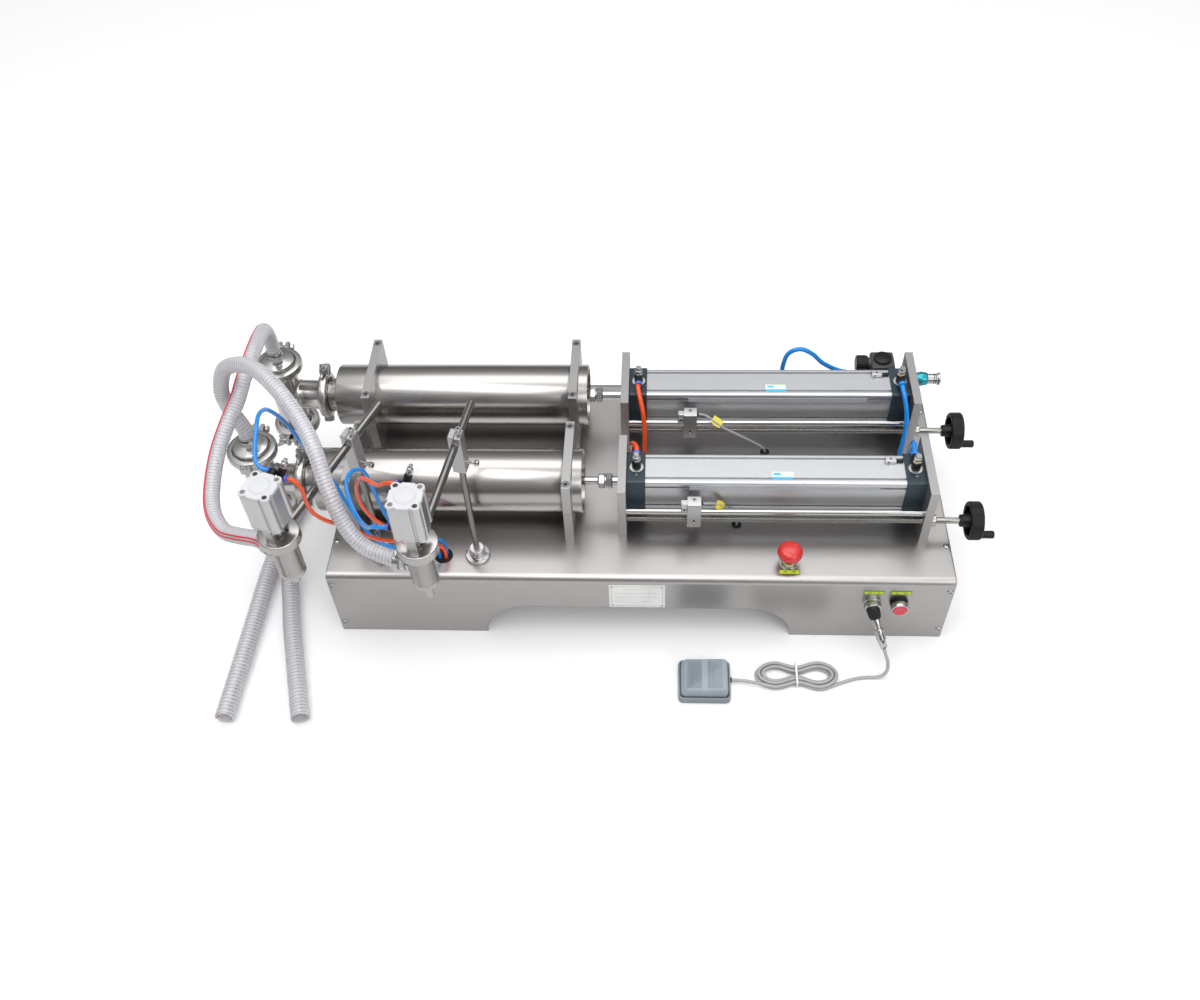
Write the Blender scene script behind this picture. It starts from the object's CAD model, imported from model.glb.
import math
import bmesh
import bpy
from mathutils import Matrix, Vector


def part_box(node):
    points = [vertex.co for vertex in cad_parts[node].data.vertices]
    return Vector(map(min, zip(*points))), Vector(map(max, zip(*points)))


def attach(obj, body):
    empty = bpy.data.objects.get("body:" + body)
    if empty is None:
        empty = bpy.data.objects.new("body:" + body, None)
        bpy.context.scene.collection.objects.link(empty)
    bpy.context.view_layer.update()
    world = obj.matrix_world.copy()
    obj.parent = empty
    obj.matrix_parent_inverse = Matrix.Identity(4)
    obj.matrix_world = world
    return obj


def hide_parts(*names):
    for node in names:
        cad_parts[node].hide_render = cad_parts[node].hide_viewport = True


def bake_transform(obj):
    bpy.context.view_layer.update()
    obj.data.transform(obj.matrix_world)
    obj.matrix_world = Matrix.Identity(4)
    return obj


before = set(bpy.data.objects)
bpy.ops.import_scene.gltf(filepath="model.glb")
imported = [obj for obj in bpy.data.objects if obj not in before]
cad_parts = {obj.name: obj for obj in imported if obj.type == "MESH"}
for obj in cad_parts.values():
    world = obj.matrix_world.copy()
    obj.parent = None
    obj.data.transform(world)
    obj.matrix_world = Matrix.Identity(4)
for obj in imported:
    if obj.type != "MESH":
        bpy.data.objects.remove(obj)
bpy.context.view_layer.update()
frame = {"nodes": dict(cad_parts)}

# Looks of a two-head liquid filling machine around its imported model. Lengths are millimetres in the
# machine's own frame, with x and y 0 at the middle of the case and z 0 at the floor. Materials, lamps
# and the floor are in metres
LOW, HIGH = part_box("base_cover")
ORIGIN = [round(500 * (low + high), 3) for low, high in zip(LOW[:2], HIGH[:2])] + [0]
STILL = Matrix.Identity(4)


def box(node):
    """A node's lowest and highest x, y and z."""
    return [tuple(round(1000 * v - o, 3) for v in ends) for ends, o in zip(zip(*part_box(node)), ORIGIN)]


def middle(node):
    return [round(sum(ends) / 2, 3) for ends in box(node)]


(LEFT, RIGHT), (FRONT, BACK), (_, DECK) = box("base_cover")
AXIS_Y = {line: middle(line + "_product_piston")[1] for line in ("front", "rear")}
AXES = tuple(AXIS_Y.values())
AXIS_Z = middle("front_product_piston")[2]
SCREW_IN = AXIS_Y["front"] - middle("front_lead_screw")[1]
SCREW_Z = middle("front_lead_screw")[2]
GUIDE_Z = middle("guide_rods")[2]
TEE_X = middle("inlet_balls")[0]
POST_Y = FRONT + 45.5
ARM_Z = DECK + 270
# Each post's x, its arm's turn in degrees and the reach from the post to the nozzle
POSTS = {"left": (LEFT + 89, 21, 187), "right": (LEFT + 243, 9, 192)}


# Places and the camera
def spot(x, y, z):
    """A point of the machine's frame in the row frame, in metres."""
    return Vector([(v + o) / 1000 for v, o in zip((x, y, z), ORIGIN)])


def move(x=0.0, y=0.0, z=0.0):
    return Matrix.Translation((x, y, z))


def turn(axis, degrees):
    return Matrix.Rotation(math.radians(degrees), 4, axis)


def along(a, b):
    """A place at a whose Z axis looks to b."""
    return move(*a) @ (Vector(b) - Vector(a)).to_track_quat("Z", "Y").to_matrix().to_4x4()


def along_x(x, y, z):
    """A place whose Z axis looks to the right."""
    return move(x, y, z) @ turn("Y", 90)


def camera():
    """The camera as it was solved from the photograph."""
    pitch, yaw, roll = (math.radians(a) for a in (49.931, -4.670, 3.192))
    photo_width, focal_pixels = 1200, 1164.86
    ahead = Vector((math.sin(yaw) * math.cos(pitch), math.cos(yaw) * math.cos(pitch), -math.sin(pitch)))
    flat = Vector((math.cos(yaw), -math.sin(yaw), 0))
    under = ahead.cross(flat)
    right = flat * math.cos(roll) + under * math.sin(roll)
    down = -flat * math.sin(roll) + under * math.cos(roll)
    place = Matrix((right, -down, -ahead)).transposed().to_4x4()
    place.translation = spot(37.74, -1309.28, 1642.31)
    cam = bpy.data.objects.new("camera", bpy.data.cameras.new("camera"))
    cam.data.sensor_fit = "HORIZONTAL"
    cam.data.sensor_width = 36
    cam.data.lens = focal_pixels / photo_width * cam.data.sensor_width
    cam.data.clip_start = 0.05
    cam.data.clip_end = 60
    cam.matrix_world = place
    bpy.context.scene.collection.objects.link(cam)
    bpy.context.scene.camera = cam


# Shader nodes
MATS = {}


class Nodes:
    """Makes and links the shader nodes of one tree."""

    def __init__(self, tree):
        self.tree = tree

    def new(self, kind, inputs=None, **settings):
        """A new node, with its inputs and settings."""
        node = self.tree.nodes.new("ShaderNode" + kind)
        for name, value in settings.items():
            setattr(node, name, value)
        self.set(node, inputs or {})
        return node

    def set(self, node, inputs):
        """Gives inputs, named by their identifiers, a value or another node's output."""
        sockets = {socket.identifier: socket for socket in node.inputs}
        for name, value in inputs.items():
            if isinstance(value, bpy.types.NodeSocket):
                self.tree.links.new(value, sockets[name])
            elif sockets[name].type == "RGBA":
                sockets[name].default_value = (*value, 1)
            else:
                sockets[name].default_value = value

    def mixed(self, share, a, b):
        inputs = {"Factor_Float": share, "A_Color": a, "B_Color": b}
        return self.new("Mix", inputs, data_type="RGBA").outputs[2]

    def span(self, value, low, high, to_low=0, to_high=1):
        """A value's range stretched to another range."""
        inputs = {"Value": value, "From Min": low, "From Max": high, "To Min": to_low, "To Max": to_high}
        return self.new("MapRange", inputs).outputs[0]


class Material(Nodes):
    """A material on the Principled shader, with patterns that are fixed to the object."""

    def __init__(self, name):
        mat = bpy.data.materials.new("m_" + name)
        mat.use_nodes = True
        super().__init__(mat.node_tree)
        self.place = self.new("TexCoord").outputs["Object"]
        MATS[name] = mat

    def noise(self, scale, detail=3.0, rough=0.55, stretch=None):
        place = self.place
        if stretch:
            place = self.new("Mapping", {"Vector": place, "Scale": stretch}).outputs[0]
        inputs = {"Vector": place, "Scale": scale, "Detail": detail, "Roughness": rough}
        return self.new("TexNoise", inputs).outputs["Fac"]

    def finish(self, colour, rough, relief=None, strength=0.1, depth=0.0001, edge=0.0, **surface):
        """Sets the surface. A relief stands depth high, and edges look rounded with the radius edge."""
        normal = {}
        if edge > 0:
            normal["Normal"] = self.new("Bevel", {"Radius": edge}, samples=4).outputs[0]
        if relief is not None:
            inputs = {"Strength": strength, "Distance": depth, "Height": relief, **normal}
            normal["Normal"] = self.new("Bump", inputs).outputs[0]
        surface = {name.replace("_", " "): value for name, value in surface.items()}
        surface.update({"Base Color": colour, "Roughness": rough, **normal})
        self.set(self.tree.nodes["Principled BSDF"], surface)


# The stage: a white floor and background, three lamps, and a studio sky that the camera doesn't see itself
SKY_TONES = ((0.52, 0.12), (0.74, 0.30), (0.83, 0.44), (0.90, 0.92), (1.0, 1.0))
SKY_STRENGTH = 1.16


def sky():
    world = bpy.data.worlds.new("studio")
    bpy.context.scene.world = world
    world.use_nodes = True
    world.node_tree.nodes.clear()
    n = Nodes(world.node_tree)
    up = n.new("SeparateXYZ", {"Vector": n.new("TexCoord").outputs["Generated"]}).outputs["Z"]
    height = n.new("Math", {"Value": up, "Value_001": 0.5, "Value_002": 0.5}, operation="MULTIPLY_ADD")
    ramp = n.new("ValToRGB", {"Fac": height.outputs[0]})
    stops = ramp.color_ramp.elements
    while len(stops) < len(SKY_TONES):
        stops.new(0.5)
    for i, (place, tone) in enumerate(SKY_TONES):
        stops[i].position = place
        stops[i].color = (tone, tone, tone * 1.01, 1)
    glow = n.new("Background", {"Color": ramp.outputs[0], "Strength": SKY_STRENGTH}).outputs[0]
    white = n.new("Background", {"Color": (1, 1, 1), "Strength": 1.0}).outputs[0]
    seen = n.new("LightPath").outputs["Is Camera Ray"]
    both = n.new("MixShader", {"Fac": seen, "Shader": glow, "Shader_001": white}).outputs[0]
    n.new("OutputWorld", {"Surface": both})


def floor():
    bpy.ops.mesh.primitive_plane_add(size=40, location=(0, 0, -0.0006))
    plane = bpy.context.object
    plane.name = "floor"
    m = Material("floor")
    colour = m.mixed(m.new("LightPath").outputs["Is Camera Ray"], (0.70, 0.70, 0.70), (0.93, 0.93, 0.935))
    m.finish(colour, 0.9, Emission_Color=(1, 1, 1), Emission_Strength=0.12)
    plane.data.materials.append(MATS["floor"])


def lamp(name, place, target, size, power):
    light = bpy.data.lights.new(name, "AREA")
    light.shape = "RECTANGLE"
    light.size, light.size_y = size
    light.energy = power
    obj = bpy.data.objects.new(name, light)
    look = (Vector(target) - Vector(place)).to_track_quat("-Z", "Y").to_matrix().to_4x4()
    obj.matrix_world = move(*place) @ look
    bpy.context.scene.collection.objects.link(obj)


def stage():
    bpy.context.scene.view_settings.view_transform = "Standard"
    sky()
    floor()
    lamp("key", (-0.4, -0.7, 2.9), (0, 0, 0.15), (2.6, 1.4), 25)
    lamp("fill", (1.6, -1.8, 1.6), (0, 0, 0.15), (1.4, 1.4), 14)
    lamp("rim", (0.0, 0.9, 2.8), (0, 0, 0.2), (3.0, 1.5), 20)


# Materials
def shade(colour, factor, lift=0.0):
    return tuple(min(1.0, c * factor + lift) for c in colour)


def brushed(name, colour, rough, axis, grain=900, tone=0.05, bump=0.25, edge=0.0004, spread=0.1, cloud=3):
    """Metal with fine lines along one axis, slow changes of tone and small specks."""
    m = Material(name)
    lines = m.noise(1.0, 3, 0.6, [grain / 90 if a == axis else grain for a in "xyz"])
    base = m.mixed(m.span(lines, 0.3, 0.7), shade(colour, 1 - tone), shade(colour, 1 + tone))
    base = m.mixed(m.span(m.noise(cloud, 3, 0.5), 0.35, 0.7, 0, 0.5), base, shade(colour, 0.9))
    streaks = m.span(lines, 0.3, 0.7, rough - spread / 2, rough + spread / 2)
    specks = m.span(m.noise(60, 4, 0.6), 0.55, 0.8, 0, 0.025)
    dull = m.new("Math", {"Value": streaks, "Value_001": specks}, operation="ADD").outputs[0]
    m.finish(base, dull, lines, bump, 0.00006, edge, Metallic=1.0)


def turned(name, colour, rough, tone=0.04, edge=0.0003, grime=0.25):
    """Turned or cast metal: soft mottling with a little grime."""
    m = Material(name)
    cloud = m.noise(40, 5, 0.6)
    fine = m.noise(900, 3, 0.6)
    base = m.mixed(m.span(cloud, 0.4, 0.75, 0, grime), colour, shade(colour, 0.72))
    base = m.mixed(m.span(fine, 0.35, 0.65, 0, 0.3), base, shade(colour, 1 + 2 * tone))
    dull = m.span(cloud, 0.3, 0.7, rough - 0.06, rough + 0.08)
    m.finish(base, dull, fine, 0.12, 0.00005, edge, Metallic=1.0)


def plastic(name, colour, rough, bump=0.15, grain=700, edge=0.0004, tone=0.12, coat=0.0, specular=0.5):
    """Moulded plastic or rubber with a fine grain and slight wear."""
    m = Material(name)
    base = m.mixed(m.span(m.noise(25, 4), 0.35, 0.7), colour, shade(colour, 1 + tone, tone * 0.03))
    fine = m.noise(grain, 2, 0.5)
    dull = m.span(fine, 0.3, 0.7, max(0.02, rough - 0.07), rough + 0.07)
    m.finish(base, dull, fine, bump, 0.0001, edge, Coat_Weight=coat, Specular_IOR_Level=specular)


def metals():
    brushed("sheet", (0.47, 0.455, 0.445), 0.33, "x", 1900, 0.03, 0.02, 0.0035, spread=0.03, cloud=1.6)
    brushed("sheet_end", (0.45, 0.44, 0.43), 0.32, "y", 1600, 0.04, 0.06, 0.0003)
    brushed("barrel", (0.44, 0.425, 0.41), 0.215, "x", 1800, 0.05, 0.08, 0.0006, spread=0.05, cloud=5)
    brushed("plate", (0.47, 0.465, 0.46), 0.40, "z", 1400, edge=0.0007)
    brushed("anodised", (0.66, 0.67, 0.69), 0.36, "x", 1600, 0.03, 0.12, 0.0005, spread=0.06)
    brushed("disc", (0.47, 0.455, 0.44), 0.22, "y", 1200, 0.05, 0.2, 0.0005, cloud=30)
    brushed("profile", (0.58, 0.58, 0.585), 0.32, "z", 1200, 0.04, 0.15, 0.0003, spread=0.08, cloud=20)
    turned("polished", (0.56, 0.55, 0.535), 0.16)
    turned("cast", (0.50, 0.49, 0.475), 0.26, grime=0.5)
    turned("rod", (0.56, 0.555, 0.55), 0.13)
    turned("rod_dark", (0.24, 0.232, 0.222), 0.2)
    turned("thread", (0.36, 0.35, 0.33), 0.24)
    turned("screw_steel", (0.50, 0.495, 0.49), 0.24)
    turned("satin", (0.62, 0.62, 0.62), 0.36, 0.03, 0.0005, 0.12)
    turned("bore", (0.05, 0.05, 0.055), 0.5)
    turned("brass", (0.62, 0.50, 0.30), 0.28)


def plastics():
    plastic("teal_cap", (0.014, 0.032, 0.044), 0.36, 0.2, 500, 0.0012, tone=0.3)
    plastic("black", (0.007, 0.007, 0.008), 0.38, tone=0.05, specular=0.32)
    plastic("black_rubber", (0.009, 0.009, 0.009), 0.55, 0.35, 400, tone=0.05, specular=0.35)
    plastic("dark", (0.05, 0.05, 0.055), 0.42)
    plastic("grey", (0.30, 0.31, 0.32), 0.45)
    plastic("hole_grey", (0.17, 0.17, 0.175), 0.5)
    plastic("bowl", (0.20, 0.21, 0.22), 0.2, 0.1, 400, 0.0, tone=0.1, coat=0.4)
    plastic("white", (0.86, 0.86, 0.85), 0.38)
    plastic("head_white", (0.62, 0.625, 0.64), 0.36, 0.12, 500, 0.0005, tone=0.06)
    plastic("red", (0.60, 0.022, 0.02), 0.24, 0.1, 400, 0.0006, tone=0.1, coat=0.4)
    plastic("red_cap", (0.70, 0.035, 0.055), 0.3, 0.1, 400, 0.0006, tone=0.1, coat=0.2)
    plastic("plate_white", (0.84, 0.835, 0.82), 0.36)
    plastic("ink", (0.10, 0.10, 0.11), 0.5)
    plastic("yellow", (0.62, 0.66, 0.03), 0.4)
    plastic("green", (0.07, 0.33, 0.05), 0.4)
    plastic("tag", (0.78, 0.66, 0.06), 0.4)
    plastic("sticker", (0.74, 0.86, 0.92), 0.35)
    plastic("sticker_blue", (0.10, 0.50, 0.75), 0.35)
    plastic("scale", (0.44, 0.46, 0.49), 0.4)
    plastic("tick", (0.16, 0.20, 0.34), 0.5)
    plastic("tube_blue", (0.004, 0.25, 0.76), 0.22, 0.08, 300, 0.0, tone=0.08, coat=0.3)
    plastic("tube_orange", (0.86, 0.085, 0.008), 0.24, 0.08, 300, 0.0, tone=0.08, coat=0.3)
    plastic("collar_blue", (0.08, 0.15, 0.62), 0.3)
    plastic("cable", (0.33, 0.33, 0.34), 0.5)
    plastic("cord", (0.40, 0.40, 0.405), 0.45, 0.2, 500, 0.0)
    plastic("stripe", (0.66, 0.02, 0.035), 0.35, 0.1, 400, 0.0)
    plastic("switch_top", (0.30, 0.345, 0.385), 0.5, 0.35, 600, 0.0012, tone=0.1)
    plastic("switch_base", (0.245, 0.285, 0.32), 0.5, 0.35, 600, 0.001, tone=0.1)


def clouded(name, cloud, a, b, rough, grain=None, **finish):
    """A material whose colour drifts from a to b."""
    m = Material(name)
    base = m.mixed(m.span(m.noise(*cloud), 0.3, 0.7), a, b)
    m.finish(base, rough, m.noise(grain, 2) if grain else None, **finish)


def make_materials():
    metals()
    plastics()
    clouded("hose", (30, 3, 0.5), (0.92, 0.91, 0.94), (0.97, 0.965, 0.99), 0.14, 500,
            Transmission_Weight=0.5, IOR=1.38, Coat_Weight=0.7, Coat_Roughness=0.08)
    clouded("hose_rib", (200,), (0.30, 0.295, 0.34), (0.42, 0.41, 0.46), 0.22,
            Coat_Weight=0.4, Metallic=0.2)
    clouded("teal_metal", (60,), (0.03, 0.30, 0.36), (0.05, 0.40, 0.46), 0.28, 600,
            strength=0.15, edge=0.0004, Metallic=0.8)


# Outlines and lines
def circle(degrees, r):
    return r * math.cos(math.radians(degrees)), r * math.sin(math.radians(degrees))


def ring(n, r):
    """An outline of n points around a circle."""
    return [circle(360 * k / n, r) for k in range(n)]


def inset(outline, c):
    """An anticlockwise outline moved inwards by c."""
    points = [Vector(p) for p in outline]
    inner, sharpest = [], 0.3
    for i, b in enumerate(points):
        before = (b - points[i - 1]).normalized()
        after = (points[(i + 1) % len(points)] - b).normalized()
        way = before + after
        inner.append(b + Vector((-way.y, way.x)) * c / max(sharpest, 1 + before.dot(after)))
    return inner


def level(outline, z):
    """An outline's points at one height."""
    return [(x, y, z) for x, y in outline]


def sides(n):
    """The pairs of neighbours in a ring of n."""
    return [(i, (i + 1) % n) for i in range(n)]


def quads(rings, n):
    """Faces between rings of n vertices."""
    return [(k + i, k + j, k + n + j, k + n + i) for k in range(0, (rings - 1) * n, n) for i, j in sides(n)]


def length(points):
    return sum((b - a).length for a, b in zip(points, points[1:]))


def smooth(route, k):
    """The same curve through a route's points as part.scad draws, with k steps between two points."""
    points = [Vector(p) for p in route]
    points = [points[0], *points, points[-1]]
    curve = []
    for a, b, c, d in zip(points, points[1:], points[2:], points[3:]):
        for t in (j / k for j in range(k)):
            bend = (a * 2 - b * 5 + c * 4 - d) / 2 * t**2 + (b * 3 - a - c * 3 + d) / 2 * t**3
            curve.append(b + (c - a) / 2 * t + bend)
    return curve + [points[-1]]


def even(points, n):
    """The same line in n steps of one length."""
    total, out, i, run = length(points), [points[0]], 0, 0.0
    for k in range(1, n):
        want = total * k / n
        while run + (points[i + 1] - points[i]).length < want:
            run += (points[i + 1] - points[i]).length
            i += 1
        step = (points[i + 1] - points[i]).length
        out.append(points[i].lerp(points[i + 1], (want - run) / step))
    return out + [points[-1]]


def section(points):
    """A point and two directions across the line at each point, turning as little as they can."""
    points = [Vector(p) for p in points]
    ahead = [(b - a).normalized() for a, b in zip(points[:1] + points, points[1:] + points[-1:])]
    up = Vector((0, 0, 1)) if abs(ahead[0].z) < 0.9 else Vector((0, 1, 0))
    across = ahead[0].cross(up).normalized()
    frames = []
    for point, way in zip(points, ahead):
        across = (across - across.dot(way) * way).normalized()
        frames.append((point, across, way.cross(across)))
    return frames


def around(frame, degrees, r):
    """A point at an angle and a radius around a line."""
    x, y = circle(degrees, r)
    return frame[0] + frame[1] * x + frame[2] * y


# Mesh building
HARD_EDGE = math.radians(35)
# Lays an outline into the YZ plane and its depth along X
SIDEWAYS = Matrix(((0, 0, 1, 0), (1, 0, 0, 0), (0, 1, 0, 0), (0, 0, 0, 1)))


class Part:
    """Collects shapes in the machine's millimetres and makes one object of them."""

    def __init__(self, name, body, *nodes, slot=None):
        self.name, self.body, self.nodes, self.slot = name, body, nodes, slot
        self.bm = bmesh.new()
        self.mats = []

    def fill(self, verts, faces, mat):
        """Faces of one material between vertices that are already there."""
        if mat not in self.mats:
            self.mats.append(mat)
        for corners in faces:
            face = self.bm.faces.new([verts[k] for k in corners])
            face.material_index = self.mats.index(mat)
            face.smooth = True

    def add(self, points, faces, mat, m=STILL):
        verts = [self.bm.verts.new(m @ Vector(p)) for p in points]
        self.fill(verts, faces, mat)
        return verts

    def lathe(self, profile, mat, m=STILL, n=40, closed=False):
        """Turns (radius, height) pairs about Z. A radius of 0 closes that end."""
        points, rings = [], []
        for r, z in profile:
            count = n if r > 1e-6 else 1
            rings.append([len(points) + k % count for k in range(n)])
            points += level(ring(n, r)[:count], z)
        if closed:
            rings.append(rings[0])
        faces = []
        for a, b in zip(rings, rings[1:]):
            # The keys of a dict hold the one corner of a closed end only once
            faces += [dict.fromkeys((a[i], a[j], b[j], b[i])) for i, j in sides(n)]
        self.add(points, faces, mat, m)

    def rod(self, d, z0, z1, mat, m=STILL, n=32, c=0.5):
        r = d / 2
        c = min(c, r * 0.4, (z1 - z0) * 0.4)
        self.lathe([(0, z0), (r - c, z0), (r, z0 + c), (r, z1 - c), (r - c, z1), (0, z1)], mat, m, n)

    def loft(self, rings, mat, m=STILL, caps=True):
        """A skin over rings of points, its ends closed by caps."""
        n, last = len(rings[0]), len(rings[0]) * (len(rings) - 1)
        faces = quads(len(rings), n)
        if caps:
            faces += [range(n)[::-1], range(last, last + n)]
        self.add([p for points in rings for p in points], faces, mat, m)

    def prism(self, outline, z0, z1, mat, m=STILL, c=0.0):
        """An outline pushed from z0 to z1, its ends inset by c."""
        rings = [level(outline, z0 + c), level(outline, z1 - c)]
        if c > 0:
            inner = inset(outline, c)
            rings = [level(inner, z0), *rings, level(inner, z1)]
        self.loft(rings, mat, m)

    def box(self, x, y, z, mat, m=STILL, c=0.6):
        """A block between three pairs of ends, its edges cut by c."""
        c = min(c, *((end - start) / 3 for start, end in (x, y, z)))
        (x0, x1), (y0, y1) = x, y
        outline = [(x0, y0), (x1, y0), (x1, y1), (x0, y1)]
        if c > 0:
            outline = [(x0 + c, y0), (x1 - c, y0), (x1, y0 + c), (x1, y1 - c),
                       (x1 - c, y1), (x0 + c, y1), (x0, y1 - c), (x0, y0 + c)]
        self.prism(outline, *z, mat, m, c)

    def ribs(self, count, x, y, z, mat, m, c):
        """The same block repeated around Z."""
        for k in range(count):
            self.box(x, y, z, mat, m @ turn("Z", 360 * k / count), c)

    def hexagon(self, flats, z0, z1, mat, m=STILL, c=0.5):
        self.prism(ring(6, flats / math.sqrt(3)), z0, z1, mat, m, c)

    def tube(self, points, r, mat, n=12):
        """A round line along points."""
        self.loft([[around(frame, 360 * k / n, r) for k in range(n)] for frame in section(points)], mat)

    def cap_screw(self, d, h, mat, m, socket="bore"):
        """The head of a socket screw, standing on z = 0."""
        r = d / 2
        cut, mouth, bottom = 0.12 * r, 0.52 * r, 0.36 * h
        profile = [(0.96 * r, 0), (r, 0.08 * r), (r, h - cut), (r - cut, h), (mouth, h),
                   (0.5 * r, h - 0.05 * r)]
        self.lathe(profile, mat, m, 28)
        self.prism(ring(6, 0.5 * r), 0.35 * h, bottom, socket, m)
        self.loft([level(ring(6, mouth), h), level(ring(6, 0.5 * r), bottom)], socket, m, caps=False)

    def dome(self, d, h, m):
        """The head of a round screw with a cross slot."""
        r = d / 2
        profile = [(1, -0.3 / h), (1, 0.12), (0.93, 0.5), (0.72, 0.82), (0.4, 0.97), (0, 1)]
        self.lathe([(r * a, h * b) for a, b in profile], "screw_steel", m, 28)
        for angle in (0, 90):
            slot = m @ turn("Z", angle)
            self.box((-0.5 * r, 0.5 * r), (-0.08 * r, 0.08 * r), (0.72 * h, 1.01 * h), "bore", slot, 0)

    def end(self):
        """Makes the object. A part without a body is left free, for a blend."""
        bmesh.ops.recalc_face_normals(self.bm, faces=self.bm.faces)
        for edge in self.bm.edges:
            if len(edge.link_faces) == 2:
                edge.smooth = edge.calc_face_angle(0) < HARD_EDGE
        mesh = bpy.data.meshes.new(self.name)
        self.bm.transform(Matrix.Diagonal((0.001, 0.001, 0.001, 1)) @ move(*ORIGIN))
        self.bm.to_mesh(mesh)
        self.bm.free()
        for mat in self.mats:
            mesh.materials.append(MATS[mat])
        obj = bpy.data.objects.new(self.name, mesh)
        bpy.context.scene.collection.objects.link(obj)
        if self.body:
            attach(obj, self.body)
        if self.nodes:
            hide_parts(*self.nodes)
        return obj


# Routes, chosen by hand as in part.scad
LEFT_HOSE = [
    (-615, 120, 306), (-615, 120, 323), (-615, 120, 340), (-613, 112, 370), (-609, 88, 394),
    (-600, 20, 418), (-602, -40, 416), (-606, -78, 405), (-615, -116, 394), (-624, -165, 376),
    (-623, -222, 358), (-611, -262, 353), (-588, -292, 354), (-560, -307, 362), (-526, -321.5, 373),
    (-512, -330.25, 373), (-498, -339, 373)]
RIGHT_HOSE = [
    (-615, -76, 306), (-615, -76, 323), (-615, -76, 340), (-621, -74, 358), (-629, -70, 378),
    (-633, -65, 411), (-616, -65, 455), (-580, -83, 483), (-547, -107, 495), (-520, -133, 496),
    (-493, -162, 489), (-462, -203, 478), (-439, -243, 465), (-419, -287, 436), (-398, -318, 402),
    (-374, -336, 380), (-341.5, -348.4, 373), (-325.5, -353.7, 373), (-309.5, -359, 373)]
FRONT_SUCTION = [
    (-615, -76, 140), (-615, -76, 125), (-615, -76, 110), (-614, -81, 78), (-612, -97, 50),
    (-608, -122, 29), (-603, -150, 18.5), (-596, -178, 16), (-585, -225, 16), (-568, -285, 16),
    (-551, -344, 16), (-534, -403, 16)]
REAR_SUCTION = [
    (-615, 120, 140), (-615, 120, 125), (-615, 120, 110), (-615, 115, 78), (-617, 99, 50), (-620, 74, 29),
    (-624, 46, 18.5), (-629, 18, 16), (-637, -25, 16), (-645, -80, 16), (-649, -130, 16), (-651, -217, 16),
    (-654, -316, 16), (-657, -405, 16)]
AIR = {
    "rear_left": [
        (-2, 97, 265), (-2, 89, 265), (2, 72, 256), (7, 57, 235), (9, 47, 205), (9, 42, 178), (9, 40, 160),
        (9, 40, 146)],
    "front_left": [
        (-2, -53, 265), (-2, -45, 265), (-6, -30, 258), (-12, -14, 240), (-16, -3, 210), (-17, 4, 180),
        (-17, 6, 160), (-17, 6, 146)],
    "rear_right": [
        (437, 97, 265), (437, 89, 265), (440, 74, 256), (444, 60, 235), (445, 49, 205), (443, 43, 178),
        (442, 41, 160), (442, 41, 146)],
    "front_right": [
        (437, -53, 265), (437, -45, 265), (440, -30, 262), (443, -14, 246), (444, -2, 216), (444, 5, 182),
        (444, 8, 160), (444, 8, 146)],
    "supply": [
        (399, 194, 202), (385, 194, 202), (350, 193, 208), (318, 191, 228), (298, 190, 250),
        (276, 190, 262), (256, 190, 252), (249, 190, 225), (248, 190, 190), (248, 190, 160),
        (248, 190, 146)]}
SMALL = {
    "blue_left": [
        (-477.8, -317.7, 516), (-487, -314.9, 517), (-495, -305, 520), (-498, -288, 527),
        (-500, -262, 535), (-504, -235, 533), (-505, -208, 517), (-503, -188, 488), (-501, -172, 455),
        (-499, -160, 420), (-495, -152, 387), (-485, -150, 349), (-467, -154, 311), (-453, -165, 275),
        (-433, -180, 236), (-411, -190, 204), (-385, -192, 188), (-358, -191, 182), (-335, -188, 179),
        (-323, -184.8, 173), (-318, -182.5, 163), (-318, -182.5, 154.5), (-318, -182.5, 146)],
    "orange_left": [
        (-450.3, -326.1, 508), (-444, -328, 508), (-438, -329.8, 503), (-434.5, -330.5, 488),
        (-435, -330, 472), (-435.5, -327.5, 452), (-432, -322, 429), (-421, -312, 402),
        (-404, -290, 361), (-391, -262, 305), (-379, -235, 262), (-362, -206, 225), (-342, -188, 201),
        (-326, -177.5, 184), (-318, -173.5, 171), (-317, -173, 162), (-317, -173, 154), (-317, -173, 146)],
    "blue_right": [
        (-321.9, -370.2, 464), (-331, -369.5, 463), (-341, -364, 457), (-356, -347, 435),
        (-379, -312, 411), (-396, -281, 412), (-405, -252, 417), (-401, -224, 410), (-392, -208, 387),
        (-388, -203, 339), (-381, -203, 287), (-367, -203, 244), (-345, -194, 218), (-325, -183, 202),
        (-312, -176, 186), (-308, -174, 172), (-308, -174, 159), (-308, -174, 146)],
    "orange_right": [
        (-307.3, -332.6, 508), (-316, -332, 508), (-325, -328, 502), (-333, -321, 491), (-341, -313, 482),
        (-350, -303, 475), (-365, -286, 464), (-379, -270, 443), (-391, -258, 409), (-396, -246, 361),
        (-388, -236, 316), (-372, -223, 275), (-354, -211, 238), (-336, -201, 214), (-320, -191, 196),
        (-310, -185, 181), (-308, -183, 169), (-308, -183, 158), (-308, -183, 146)]}
CABLES = {
    "front": [
        (102, -128, 226), (108, -128, 226), (118, -124, 222), (130, -118, 212), (142, -114, 196),
        (152, -112, 178), (158, -110, 165), (161, -109, 156), (161, -109, 146)],
    "rear": [
        (98, 68, 226), (104, 68, 226), (115, 66, 223), (128, 60, 215), (145, 56, 204), (175, 54, 186),
        (200, 53, 170), (212, 52, 160), (215, 52, 152), (215, 52, 146)]}
CORD_IN = [
    (396, -277, 45), (400, -285, 35), (403, -291, 27.5), (403, -298, 16), (397, -303, 8), (386, -305, 4),
    (370, -305, 2.9), (354, -307.5, 2.9), (338, -312.5, 2.9)]
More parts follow.
